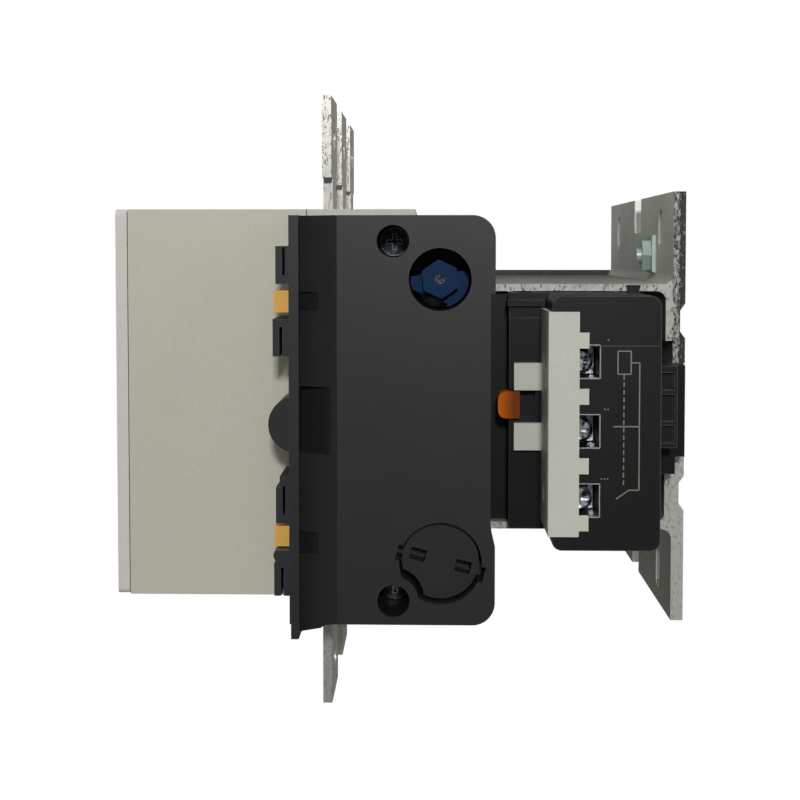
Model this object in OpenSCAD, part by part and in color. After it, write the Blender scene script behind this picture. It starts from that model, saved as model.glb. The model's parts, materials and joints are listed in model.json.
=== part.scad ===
// Three pole power contactor for panel mounting.
// Origin: centre of the fixing slots on the mounting plane. +Y points into the panel, -Y is the
// front, +Z is up and +X is the side of the coil terminals.

/* [Poles] */
// Distance between neighbouring poles
pole_pitch = 48; // [46:0.5:50]
// Width of a terminal bar at its wide end
bar_w = 25; // [22:0.5:26]
// Thickness of a terminal bar
bar_t = 3; // [2.5:0.25:3.5]
// Height of the terminal ends above and below the centre of the poles
bar_reach = 98.5; // [94:0.5:104]
// Distance between the line and the load terminal holes
terminal_hole_gap = 174; // [168:1:178]
// Radius of the hole in a terminal
terminal_hole_r = 5.25; // [4.25:0.25:6.25]

/* [Pole body] */
// Half width of the cream pole body
body_half_w = 63.8; // [63:0.1:65]
// Top of the cream pole body
body_top = 62.6; // [62:0.1:64]
// Bottom of the cream pole body
body_bottom = -61.5; // [-63:0.1:-61]
// Depth from the mounting plane to the front of the lid
depth = 181; // [180:0.5:184]

/* [Side flanks] */
// Outer face of the right flank
flank_x = 97; // [96:0.5:98]
// Outer face of the left flank
left_x = -69; // [-70:0.5:-68]
// Front of the flanks
flank_front = -121.8; // [-122.5:0.1:-121]
// Rear of the flanks
flank_rear = -61.2; // [-61.6:0.1:-61]
// Depth of the recess in the front half of the right flank
recess_depth = 5; // [3:0.5:6]

/* [Frame] */
// Half width of the steel frame
frame_half_w = 67; // [66:0.5:68]
// Half height of the back plate with its ears
plate_half_h = 68; // [66:0.5:70]
// Thickness of the back plate
plate_t = 3.9; // [3.5:0.1:4.2]
// Outer face of the frame arms, above and below the centre
arm_z = 38.9; // [38:0.1:40]
// Thickness of the frame arms
arm_t = 2.2; // [1.8:0.1:2.6]
// Horizontal distance between the fixing slots
slot_gap_x = 90; // [84:1:96]
// Vertical distance between the fixing slots
slot_gap_z = 113; // [110:1:116]
// Length of a fixing slot
slot_len = 13.5; // [11:0.5:15]
// Radius of the round ends of a fixing slot
slot_r = 3.3; // [2.5:0.1:4]

/* [Coil unit] */
// Outer face of the coil label
label_x = 98.7; // [98:0.1:99]
// Outer face of the coil terminal cover
cover_x = 99.5; // [99.5:0.1:100.5]
// Distance between neighbouring coil terminals
coil_terminal_pitch = 20.3; // [20:0.1:20.6]
// Height of the middle coil terminal
coil_terminal_z = -3.1; // [-3.5:0.1:-2.5]

/* [Motion] */
// Travel of the contact carrier and armature
carrier_travel = 8; // [7:0.1:8]
// Open gap between the moving and the fixed contact tips
contact_gap = 5.7; // [5.7:0.1:6]
// Travel of the economy plunger
plunger_travel = 3; // [2:0.5:3]

/* [Hidden] */

$fn = 48;

// Colours
cream = [0.80, 0.79, 0.73];
cream_grey = [0.78, 0.78, 0.74];
flank_grey = [0.22, 0.22, 0.23];
coil_black = [0.12, 0.12, 0.12];
steel = [0.62, 0.62, 0.60];
zinc = [0.66, 0.72, 0.70];
silver = [0.80, 0.79, 0.75];
copper = [0.72, 0.43, 0.25];
lug_yellow = [0.90, 0.62, 0.22];
lever_orange = [0.82, 0.42, 0.08];
lock_blue = [0.05, 0.20, 0.45];
insulator = [0.30, 0.24, 0.20];

// Clearances
eps = 0.01;
slide_gap = 0.3;

// Poles and their names' order, left to right
poles = [-pole_pitch, 0, pole_pitch];

// Stack along the depth, from the front
lid_t = 3.7;
lid_gap = 0.3;
lid_rear = -depth + lid_t;
lid_peg_x = [-55, 55];
lid_peg_z = [-50, 50];
chamber_front = lid_rear + lid_gap;
chamber_rear = -119.5;
pole_rear = -85;
base_rear = flank_rear;
wall = 2.6;
partition_t = 2.4;
cell_half = (pole_pitch - partition_t) / 2;

// Terminal bars
bar_rear = -112;
bar_front = bar_rear - bar_t;
bar_shoulder = 72.3;
neck_half = 7;
pole_centre_z = 0.6;
bar_inner = 14;
neck_gap = 0.2;
tip_t = 2.2;
fixed_tip_front = bar_front - tip_t;

// Moving contacts: the tips stand contact_gap in front of the fixed tips
moving_tip_rear = fixed_tip_front - contact_gap;
bridge_rear = moving_tip_rear - tip_t;
bridge_t = 4;
bridge_front = bridge_rear - bridge_t;
bridge_half_w = 7;
bridge_reach = 30;
tip_z = 23;
tip_len = 12;
tip_half_w = 6;

// Contact carrier
post_half_w = 11.2;
post_half_h = 9;
post_front = -147;
post_cap_t = 3;
cheek_inner = bridge_half_w + slide_gap;
carrier_plate_front = -79.5;
carrier_plate_rear = -71.5;
carrier_half_w = 59.6;
carrier_half_h = 15;

// Magnet
core_rear = -plate_t - 1;
core_yoke_front = -16;
core_face = -50;
core_half_w = 46;
core_half_h = 18;
centre_leg_half = 12;
side_leg_inner = 34;
armature_rear = core_face - carrier_travel - 0.1;
armature_front = carrier_plate_rear;

// Right flank service holes: [Y, Z]
flank_inner = body_half_w + 0.4;
flank_top = 59.8;
flank_bottom = -61;
flank_corner = 6.7;
flank_wall = 2.6;
screw_hole_r = 4.8;
upper_screw = [-91.2, 52.2];
lower_screw = [-91.1, -53.9];
hex_at = [-77.4, 41];
hex_hole_r = 9.24;
cap_at = [-77.2, -42.7];
cap_hole_r = 12.2;
cap_r = 11.4;
cap_face_x = 93;
cap_back_x = 86;
cap_turn = -15;
bite_hole_r = 7.35;
bite_cap_r = 9;
boss_wall = 2.4;
screw_head_x = 79;
hex_floor_x = 75;
flange_x0 = 84.3;
cap_floor_x = 84;

// Recess band of the right flank
rim_rear = flank_front + 2.9;
recess_rear = -107.6;
recess_floor = flank_x - recess_depth;
recess_shallow = flank_x - 0.8;
ramp_floor = recess_floor - 3.8;

// Aux drive
lug_half = 3.3;
lug_upper_z = 34.1;
lug_lower_z = -37.1;
lug_x0 = 73;
lug_x1 = 86;
finger_front = -116;
link_front = -107;
link_rear = -101;
link_half = 4;
hex_shaft_r = 3.8;
grip_x = 91.5;

// Pole cells: [low X, high X]
cells = [
    [-body_half_w + wall, -pole_pitch / 2 - partition_t / 2],
    [-cell_half, cell_half],
    [pole_pitch / 2 + partition_t / 2, body_half_w - wall]
];
cell_top = body_top - 3;
cell_bottom = body_bottom + 3;

// Frame details
earth_at = [30, 47.8];
stud_r = 2.5;
washer_front = -plate_t - 1.2;
frame_screw_x = [-50, 50];
frame_screw_z = 31;
hook_x = 64.6;
hook_front = -18.8;
hook_rear = -14.2;

// Armature rivets and return springs
rivet_x = [-30, 30];
rivet_r = 2.5;
return_x = 52.5;

// Coil unit
label_front = -44.8;
label_rear = -13.2;
label_top = 36.3;
label_bottom = -38.2;
label_inner = 68;
coil_front = -55.8;
coil_front_bottom = -37;
coil_front_x = 74.8;
plunger_in = 71.5;
latch_hooks_z = [[7, 13.7], [-14, -7.2]];
plunger_z = 1.8;
plunger_rear = -52.6;
terminals_z = [for (i = [1, 0, -1]) coil_terminal_z + i * coil_terminal_pitch];
window_half = 4.8;
window_rear = -31.1;
pocket_inner = 82;
screw_y = -36.4;
cover_front = -45.9;
cover_inner = 75;
cover_rear = -37;
cover_top = 31.7;
cover_bottom = -34;

// ---------- shape helpers ----------

// Box between its lowest and its highest corner
module box(lo, hi) {
    translate(lo) cube(hi - lo);
}

// Profile drawn as [Y, Z], extruded along X
module along_x(x0, x1) {
    translate([x0, 0, 0]) rotate([90, 0, 90]) linear_extrude(x1 - x0) children();
}

// Profile drawn as [X, Z], extruded along Y
module along_y(y0, y1) {
    translate([0, y1, 0]) rotate([90, 0, 0]) linear_extrude(y1 - y0) children();
}

// Round bar along X, centred on [Y, Z]
module bar_x(x0, x1, at, r) {
    translate([x0, at[0], at[1]]) rotate([0, 90, 0]) cylinder(h = x1 - x0, r = r);
}

// Round bar along Y, centred on [X, Z]
module bar_y(y0, y1, at, r) {
    translate([at[0], y0, at[1]]) rotate([-90, 0, 0]) cylinder(h = y1 - y0, r = r);
}

// Rectangle with four round corners
module rounded(lo, hi, r) {
    translate([lo[0] + r, lo[1]]) square([hi[0] - lo[0] - 2 * r, hi[1] - lo[1]]);
    translate([lo[0], lo[1] + r]) square([hi[0] - lo[0], hi[1] - lo[1] - 2 * r]);
    for (a = [lo[0] + r, hi[0] - r], b = [lo[1] + r, hi[1] - r])
        translate([a, b]) circle(r);
}

// Slot with round ends, upright, cut along Y
module upright_slot(x, z, y0, y1) {
    half = slot_len / 2 - slot_r;
    box([x - slot_r, y0, z - half], [x + slot_r, y1, z + half]);
    for (s = [-1, 1]) bar_y(y0, y1, [x, z + s * half], slot_r);
}

// Cross recess of a screw that faces +X
module cross_x(x0, x1, at, w, t) {
    box([x0, at[0] - w / 2, at[1] - t / 2], [x1, at[0] + w / 2, at[1] + t / 2]);
    box([x0, at[0] - t / 2, at[1] - w / 2], [x1, at[0] + t / 2, at[1] + w / 2]);
}

// Cross recess of a screw that faces -Y
module cross_y(y0, y1, at, w, t) {
    box([at[0] - w / 2, y0, at[1] - t / 2], [at[0] + w / 2, y1, at[1] + t / 2]);
    box([at[0] - t / 2, y0, at[1] - w / 2], [at[0] + t / 2, y1, at[1] + w / 2]);
}

// Coil spring along Y: a round wire swept along a helix
module wire_spring(y0, y1, at, r, wire, turns) {
    steps = 14;
    sides = 6;
    n = turns * steps;
    function centre(i) = [
        at[0] + r * cos(360 * i / steps),
        y0 + wire / 2 + (y1 - y0 - wire) * i / n,
        at[1] + r * sin(360 * i / steps)
    ];
    function ring(i) = [
        for (k = [0:sides - 1])
            let (out = wire / 2 * cos(360 * k / sides), up = wire / 2 * sin(360 * k / sides))
            centre(i) + [out * cos(360 * i / steps), up, out * sin(360 * i / steps)]
    ];
    points = [for (i = [0:n]) each ring(i)];
    skin = [
        for (i = [0:n - 1], k = [0:sides - 1])
            let (a = i * sides + k, b = i * sides + (k + 1) % sides)
            each [[a, b, a + sides], [b, b + sides, a + sides]]
    ];
    ends = [
        [for (k = [sides - 1:-1:0]) k],
        [for (k = [0:sides - 1]) n * sides + k]
    ];
    polyhedron(points, concat(skin, ends));
}

// ---------- frame ----------

// Steel plate that carries everything, with two slotted ears at the top and two at the bottom
module back_plate() {
    ear_notch_half = 7;
    ear_notch_z = 55.8;
    groove_in = 55;
    groove_depth = 1.6;
    latch_in = 60;
    color(steel) difference() {
        box([-frame_half_w, -plate_t, -plate_half_h], [frame_half_w, 0, plate_half_h]);
        for (m = [0, 1]) mirror([0, 0, m]) {
            box([-ear_notch_half, -plate_t - eps, ear_notch_z],
                [ear_notch_half, eps, plate_half_h + eps]);
            for (x = [-slot_gap_x / 2, slot_gap_x / 2])
                upright_slot(x, slot_gap_z / 2, -plate_t - eps, eps);
            for (n = [0, 1]) mirror([n, 0, 0])
                along_x(groove_in, frame_half_w + eps)
                    polygon([[eps, 21.8], [-groove_depth, 24], [-groove_depth, 30.6], [eps, 32.8]]);
        }
        for (z = latch_hooks_z)
            box([latch_in, -plate_t - eps, z[0] - 0.2], [frame_half_w + eps, eps, z[1] + 0.2]);
        bar_y(-plate_t - eps, eps, earth_at, stud_r);
    }
}

// Dovetail of the coil unit's hook in a frame arm as [Y, Z], less a gap on each side
module hook_outline(top_z, gap) {
    polygon([
        [hook_front + gap, top_z], [hook_rear - gap, top_z],
        [hook_rear - 0.9 - gap, 35.2], [hook_front + 0.9 + gap, 35.2]
    ]);
}

// Frame arm: foot on the back plate, arm forward with a lip along its left edge, tab behind the pole body
module frame_arm() {
    foot_z = 21;
    tab_z = 26;
    tab_half_w = 57;
    bend = 3;
    lip_w = 1.6;
    lip_h = 2.3;
    foot_front = -plate_t - arm_t;
    color(steel) difference() {
        union() {
            along_x(-frame_half_w, frame_half_w) {
                translate([base_rear, arm_z - arm_t]) square([-plate_t - base_rear, arm_t]);
                translate([foot_front, foot_z]) square([arm_t, arm_z - foot_z]);
                difference() {
                    translate([foot_front - bend, arm_z - arm_t - bend]) square(bend);
                    translate([foot_front - bend, arm_z - arm_t - bend]) circle(bend);
                }
                difference() {
                    translate([-plate_t - bend, arm_z]) square(bend);
                    translate([-plate_t - bend, arm_z + bend]) circle(bend);
                }
            }
            box([-tab_half_w, base_rear, tab_z], [tab_half_w, base_rear + arm_t, arm_z - arm_t / 2]);
            box([-frame_half_w, base_rear, arm_z - arm_t],
                [-frame_half_w + lip_w, -plate_t, arm_z + lip_h]);
        }
        for (x = frame_screw_x) bar_y(base_rear - eps, base_rear + arm_t + eps, [x, frame_screw_z], 2.2);
        along_x(hook_x, frame_half_w + eps) hook_outline(arm_z + eps, 0);
    }
}

module upper_frame_arm() {
    frame_arm();
}

module lower_frame_arm() {
    mirror([0, 0, 1]) frame_arm();
}

// Four pan head screws that hold the pole body to the frame arms
module frame_screws() {
    head_rear = base_rear + arm_t + 2.6;
    color(zinc) for (x = frame_screw_x, z = [-frame_screw_z, frame_screw_z]) difference() {
        union() {
            bar_y(base_rear - 11, base_rear + arm_t + 0.1, [x, z], 2);
            bar_y(base_rear + arm_t, head_rear, [x, z], 3.8);
        }
        cross_y(head_rear - 1.5, head_rear + eps, [x, z], 4.2, 1);
    }
}

module earth_stud() {
    color(zinc) bar_y(-9.6, -0.3, earth_at, stud_r - 0.05);
}

// Hexagon nut, point to point across the width
module earth_nut() {
    color(zinc) difference() {
        translate([earth_at[0], washer_front, earth_at[1]]) rotate([90, 0, 0])
            cylinder(h = 2.8, r = 5.75, $fn = 6);
        bar_y(-9, -5, earth_at, stud_r);
    }
}

// Square clamp washer with a locating hole near its top
module earth_washer() {
    half = 6.8;
    color(zinc) difference() {
        box([earth_at[0] - half, washer_front, arm_z + 3.2],
            [earth_at[0] + half, -plate_t, earth_at[1] + half]);
        bar_y(-6, 0, earth_at, stud_r + 0.1);
        bar_y(-6, 0, [earth_at[0], earth_at[1] + 5], 1.1);
    }
}

// ---------- pole body ----------

// Clear way for each carrier post, through a wall between two depths
module post_holes(y0, y1) {
    for (p = poles)
        box([p - post_half_w - slide_gap, y0 - eps, -post_half_h - slide_gap],
            [p + post_half_w + slide_gap, y1 + eps, post_half_h + slide_gap]);
}

// Dark rear part of the pole body: it guides the carrier and the armature
module base_housing() {
    skirt_in = carrier_half_w + 0.8;
    skirt_rear = -48;
    ledge_in = 49.5;
    step_y = -78;
    color(coil_black) difference() {
        union() {
            box([-body_half_w, pole_rear, -58], [body_half_w, step_y, 58]);
            box([-body_half_w, step_y, -42], [body_half_w, base_rear, 42]);
            for (m = [0, 1]) mirror([m, 0, 0]) {
                box([skirt_in, base_rear - 1, -36.4], [body_half_w, skirt_rear, 36.4]);
                box([ledge_in, skirt_rear - 2.4, -8], [skirt_in + 0.1, skirt_rear, 8]);
            }
        }
        box([-skirt_in, carrier_plate_front, -20], [skirt_in, base_rear + eps, 20]);
        post_holes(pole_rear, carrier_plate_front);
        for (x = frame_screw_x, z = [-frame_screw_z, frame_screw_z])
            bar_y(base_rear - 12, base_rear + eps, [x, z], 2.05);
    }
}

// Cream part of the pole body: a cell for each pole in front, hollow behind
module pole_housing() {
    floor_rear = bar_rear + 3;
    link_gap = 1.2;
    color(cream) difference() {
        box([-body_half_w, chamber_rear, body_bottom], [body_half_w, pole_rear, body_top]);
        for (c = cells)
            box([c[0], chamber_rear - eps, cell_bottom], [c[1], bar_rear, cell_top]);
        box([-body_half_w + 3, floor_rear, -56], [body_half_w - 3, pole_rear + eps, 56]);
        post_holes(bar_rear, floor_rear);
        for (p = poles)
            box([p - neck_half - neck_gap, chamber_rear - eps, body_bottom - 1],
                [p + neck_half + neck_gap, bar_rear, body_top + 1]);
        box([body_half_w - 4, link_front - link_gap, -link_half - 1],
            [body_half_w + 1, link_rear + carrier_travel + link_gap, link_half + 1]);
        for (m = [0, 1]) mirror([m, 0, 0])
            for (s = [upper_screw, lower_screw]) bar_x(body_half_w - 4, body_half_w + 1, s, 2.15);
    }
}

// Cream box round the contacts, with a cell for each pole and vents for the arc gas.
// Tongues at its rear close the slots of the terminal bars.
module arc_chamber() {
    front_wall = 2.4;
    vent_w = 1.8;
    vent_pitch = 4.6;
    vent_front = chamber_front + 9;
    vent_rear = chamber_front + 41;
    color(cream) {
        difference() {
            box([-body_half_w, chamber_front, body_bottom], [body_half_w, chamber_rear - lid_gap, body_top]);
            for (c = cells)
                box([c[0], chamber_front + front_wall, body_bottom + wall],
                    [c[1], chamber_rear + eps, body_top - wall]);
            for (p = poles, i = [-2:2])
                box([p + i * vent_pitch - vent_w / 2, vent_front, body_bottom - 1],
                    [p + i * vent_pitch + vent_w / 2, vent_rear, body_top + 1]);
            for (x = lid_peg_x, z = lid_peg_z) bar_y(chamber_front - eps, chamber_front + 2, [x, z], 2.1);
        }
        for (p = poles) {
            box([p - neck_half, chamber_rear - 1, body_top - wall], [p + neck_half, bar_front, body_top]);
            box([p - neck_half, chamber_rear - 1, body_bottom],
                [p + neck_half, bar_front, body_bottom + wall]);
        }
    }
}

// Front lid with a shallow label recess and four pegs
module front_lid() {
    color(cream) difference() {
        union() {
            along_y(-depth, lid_rear)
                rounded([-body_half_w, body_bottom], [body_half_w, body_top], 2);
            for (x = lid_peg_x, z = lid_peg_z) bar_y(lid_rear - 1, lid_rear + 1.8, [x, z], 1.9);
        }
        along_y(-depth - eps, -depth + 0.6) rounded([-44, 8], [44, 44], 3);
        along_y(-depth - eps, -depth + 0.4) rounded([-50, -46], [50, -14], 3);
    }
}

// ---------- flanks ----------

// Outline of a flank as [Y, Z]
module flank_outline() {
    c = flank_corner;
    translate([flank_front, flank_bottom]) square([flank_rear - c - flank_front, flank_top - flank_bottom]);
    translate([flank_front, flank_bottom + c])
        square([flank_rear - flank_front, flank_top - flank_bottom - 2 * c]);
    for (z = [flank_bottom + c, flank_top - c]) translate([flank_rear - c, z]) circle(c);
}

// Flap at the lower front corner of the right flank
module flap_outline() {
    polygon([
        [flank_front + 0.4, flank_bottom + 5], [flank_front + 0.4, -65.5], [rim_rear - 0.3, -65.5],
        [rim_rear + 0.3, -64.5], [-112.8, -62.9], [-111.6, -61.9], [-106.9, flank_bottom],
        [-106.9, flank_bottom + 5]
    ]);
}

// Ramp cut into the outer face: deepest at the front rim, shallow at y1
module ramp(z0, z1, deep_x, y1, shallow_x) {
    translate([0, 0, z0]) linear_extrude(z1 - z0)
        polygon([[flank_x + 1, rim_rear], [deep_x, rim_rear], [shallow_x, y1], [flank_x + 1, y1]]);
}

// Recess of the service cap: round, with a bite that keeps clear of the lower screw
module cap_outline(r, bite_r) {
    difference() {
        translate(cap_at) circle(r);
        translate(lower_screw) circle(bite_r);
    }
}

// Two snap notches beside the service cap
module cap_notches(w, reach) {
    translate(cap_at) rotate(cap_turn) translate([-reach, -w / 2]) square([2 * reach, w]);
}

// Solid of the right flank before its holes: a shell with bosses
module flank_shell() {
    rear_in = flank_rear - flank_wall;
    front_in = flank_front + flank_wall;
    inner_front = lug_x1 + 0.7;
    difference() {
        along_x(flank_inner, flank_x) {
            flank_outline();
            flap_outline();
        }
        // Hollow behind the flat rear half
        box([flank_inner - eps, recess_rear + flank_wall, flank_bottom + flank_wall],
            [flank_x - flank_wall, rear_in, flank_top - flank_wall]);
        // Hollow behind the recess band
        box([flank_inner - eps, front_in, flank_bottom + flank_wall],
            [inner_front, recess_rear + flank_wall + 1, flank_top - flank_wall]);
    }
    for (s = [upper_screw, lower_screw])
        bar_x(flank_inner, flank_x - 1, s, screw_hole_r + boss_wall);
    intersection() {
        union() {
            bar_x(70, flank_x - 1, hex_at, hex_hole_r + boss_wall);
            bar_x(cap_floor_x - 3, flank_x - 1, cap_at, cap_hole_r + boss_wall + 1);
        }
        along_x(69, flank_x) flank_outline();
    }
}

module right_flank() {
    front_in = flank_front + flank_wall;
    slot_gap = 0.5;
    color(flank_grey) difference() {
        flank_shell();
        // Recess band with a tilted floor, a large ramp pocket and two small ones
        ramp(flank_bottom - 8, flank_top + 1, recess_floor, recess_rear, recess_shallow);
        ramp(-10.8, 9.2, ramp_floor, recess_rear, flank_x);
        for (z = [[31.5, 37.3], [-41, -34.4]])
            ramp(z[0], z[1], recess_floor - 1.8, rim_rear + 5.6, recess_floor + 2);
        // Screw holes
        for (s = [upper_screw, lower_screw]) {
            bar_x(screw_head_x - 3, flank_x + 1, s, screw_hole_r);
            bar_x(flank_inner - 1, screw_head_x, s, 2.3);
        }
        // Hex lock well and the bore of its shaft
        bar_x(hex_floor_x, flank_x + 1, hex_at, hex_hole_r);
        bar_x(69, hex_floor_x + eps, hex_at, hex_shaft_r + 0.05);
        // Service cap recess, its notches and the inspection opening behind it
        along_x(cap_floor_x, flank_x + 1) cap_outline(cap_hole_r, bite_hole_r);
        along_x(cap_floor_x + 1, flank_x + 1) cap_notches(4.7, cap_hole_r + 1.1);
        bar_x(cap_floor_x - 4, cap_floor_x + 1, cap_at, 7);
        // Slots for the auxiliary drive lugs
        for (z = [lug_upper_z, lug_lower_z])
            box([lug_x0 - slot_gap, flank_front - 1, z - lug_half - slot_gap],
                [lug_x1 + slot_gap, front_in + eps, z + lug_half + slot_gap]);
        // Step in the rear edge
        along_x(flank_inner - 1, flank_x + 1)
            polygon([[flank_rear - 1.4, 36.8], [flank_rear + 1, 36.8], [flank_rear + 1, -37.6],
                     [flank_rear, -37.6], [flank_rear - 1, -33.5], [flank_rear - 1.4, -29.8]]);
    }
}

// Plain cover on the far side, with a shallow recess band
module left_flank() {
    x1 = -body_half_w - 0.4;
    color(flank_grey) difference() {
        along_x(left_x, x1) flank_outline();
        along_x(left_x - 1, left_x + 1.6)
            translate([rim_rear, flank_bottom - 1])
                square([recess_rear - rim_rear, flank_top - flank_bottom + 2]);
        box([left_x + 2.4, recess_rear + 3, flank_bottom + 4], [x1 + eps, flank_rear - 4, flank_top - 4]);
        for (s = [upper_screw, lower_screw]) {
            bar_x(left_x - 1, left_x + 2.2, s, 4.2);
            bar_x(left_x - 1, x1 + 1, s, 2.3);
        }
    }
}

// Cross head screws deep in the flank's holes
module right_flank_screws() {
    head_t = 2.9;
    color(steel) for (s = [upper_screw, lower_screw]) difference() {
        union() {
            bar_x(screw_head_x - head_t, screw_head_x, s, 4.3);
            bar_x(body_half_w - 7, screw_head_x - head_t + 0.1, s, 2.1);
        }
        cross_x(screw_head_x - 1.6, screw_head_x + eps, s, 4.8, 1.1);
    }
}

module left_flank_screws() {
    color(steel) for (s = [upper_screw, lower_screw]) difference() {
        union() {
            bar_x(left_x + 0.2, left_x + 2.1, s, 3.9);
            bar_x(left_x + 2, -body_half_w + 7, s, 2.1);
        }
        cross_x(left_x + 0.1, left_x + 1.2, s, 4.4, 1);
    }
}

// One clip on the flank's front, with a slot behind its outer flange
module clip(z, reach, slot_z) {
    x = [68, 90];
    slot_front = reach - 2;
    difference() {
        box([x[0], -reach, z[0]], [x[1], flank_front, z[1]]);
        box([x[0] - 1, -slot_front, slot_z[0]], [x[1] + 1, -slot_front + 0.9, slot_z[1]]);
    }
}

module upper_clips() {
    color(coil_black) {
        clip([39.5, 50.8], 126.5, [42.1, 52]);
        clip([17.8, 29], 127.4, [16, 26.7]);
    }
}

module lower_clips() {
    color(coil_black) {
        clip([-32.5, -21.6], 126.6, [-29.9, -21]);
        clip([-54.5, -44.4], 127.2, [-56, -46]);
        along_x(68, 90) polygon([
            [flank_front, -44.5], [-126.6, -44.5], [-127.4, -42.7], [-127.4, -41.6], [-126.4, -40.7],
            [flank_front, -40.7]
        ]);
        box([70, -125.7, -21.7], [88, flank_front, -18.7]);
    }
}

// Half round boss in front of the flank
module interlock_boss() {
    color(flank_grey) intersection() {
        bar_x(70, 91, [-120.2, -2.5], 8.5);
        box([60, -140, -20], [100, flank_front, 20]);
    }
}

// ---------- main contacts ----------

// Terminal bar of one pole, at the top: a wide end on a neck that enters the body
module terminal_bar(p) {
    half = bar_w / 2;
    color(silver) difference() {
        along_y(bar_front, bar_rear) translate([p, 0]) {
            translate([-neck_half, bar_inner]) square([2 * neck_half, bar_shoulder - bar_inner + 1]);
            translate([-half, bar_shoulder]) square([bar_w, bar_reach - bar_shoulder]);
        }
        bar_y(bar_front - 1, bar_rear + 1, [p, terminal_hole_gap / 2], terminal_hole_r);
    }
}

module line_terminal_1() {
    translate([0, 0, pole_centre_z]) terminal_bar(poles[0]);
}

module line_terminal_2() {
    translate([0, 0, pole_centre_z]) terminal_bar(poles[1]);
}

module line_terminal_3() {
    translate([0, 0, pole_centre_z]) terminal_bar(poles[2]);
}

module load_terminal_1() {
    translate([0, 0, pole_centre_z]) mirror([0, 0, 1]) terminal_bar(poles[0]);
}

module load_terminal_2() {
    translate([0, 0, pole_centre_z]) mirror([0, 0, 1]) terminal_bar(poles[1]);
}

module load_terminal_3() {
    translate([0, 0, pole_centre_z]) mirror([0, 0, 1]) terminal_bar(poles[2]);
}

module fixed_contact_tips() {
    color(silver) for (p = poles, s = [-1, 1])
        box([p - tip_half_w, fixed_tip_front, s * tip_z - tip_len / 2],
            [p + tip_half_w, bar_front, s * tip_z + tip_len / 2]);
}

// Two stacks of steel plates that break up the arc of one pole, between their fibre cheeks
module arc_splitters(i) {
    x = [cells[i][0] + 0.3, cells[i][1] - 0.3];
    z = [38, 57.5];
    cheek_t = 0.8;
    plate_thick = 1.2;
    first = chamber_front + 6;
    pitch = 4.6;
    last = first + 10 * pitch;
    color(steel) for (m = [0, 1]) mirror([0, 0, m]) {
        difference() {
            for (y = [first:pitch:last]) box([x[0], y, z[0]], [x[1], y + plate_thick, z[1]]);
            box([poles[i] - 3, first - 1, z[0] - 1], [poles[i] + 3, last + 2, z[0] + 8]);
        }
        for (side = [x[0], x[1] - cheek_t])
            box([side, first - 1, z[0]], [side + cheek_t, last + 2, z[1]]);
    }
}

module arc_splitters_1() {
    arc_splitters(0);
}

module arc_splitters_2() {
    arc_splitters(1);
}

module arc_splitters_3() {
    arc_splitters(2);
}

// ---------- magnet and coil ----------

// Shading ring profile as [X, Z], right side
module ring_outline() {
    difference() {
        translate([36, -15]) square([6, 30]);
        translate([38, -13]) square([2, 26]);
    }
}

module magnet_core() {
    color(steel) difference() {
        union() {
            box([-core_half_w, core_yoke_front, -core_half_h], [core_half_w, core_rear, core_half_h]);
            box([-centre_leg_half, core_face, -core_half_h], [centre_leg_half, core_yoke_front, core_half_h]);
            for (m = [0, 1]) mirror([m, 0, 0])
                box([side_leg_inner, core_face, -core_half_h], [core_half_w, core_yoke_front, core_half_h]);
        }
        for (m = [0, 1]) mirror([m, 0, 0]) along_y(core_face - eps, core_face + 2) ring_outline();
    }
}

module shading_rings() {
    color(copper) for (m = [0, 1]) mirror([m, 0, 0]) along_y(core_face, core_face + 2) ring_outline();
}

module core_cushions() {
    color(coil_black) for (x = [-40, 16])
        box([x, core_rear, -14], [x + 24, -plate_t, 14]);
}

// Bobbin on the centre leg
module coil_bobbin() {
    flange_t = 1.8;
    y0 = -47.5;
    y1 = -17.5;
    in_x = centre_leg_half + 0.3;
    in_z = core_half_h + 0.3;
    color(insulator) difference() {
        union() {
            box([-in_x - 2, y0, -in_z - 2], [in_x + 2, y1, in_z + 2]);
            for (y = [y0, y1 - flange_t]) box([-33.4, y, -35.4], [33.4, y + flange_t, 35.4]);
        }
        box([-in_x, y0 - 1, -in_z], [in_x, y1 + 1, in_z]);
    }
}

module coil_winding() {
    in_x = centre_leg_half + 2.4;
    in_z = core_half_h + 2.4;
    color(copper) difference() {
        along_y(-45.6, -19.4) rounded([-32, -34], [32, 34], 5);
        box([-in_x, -50, -in_z], [in_x, -10, in_z]);
    }
}

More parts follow.
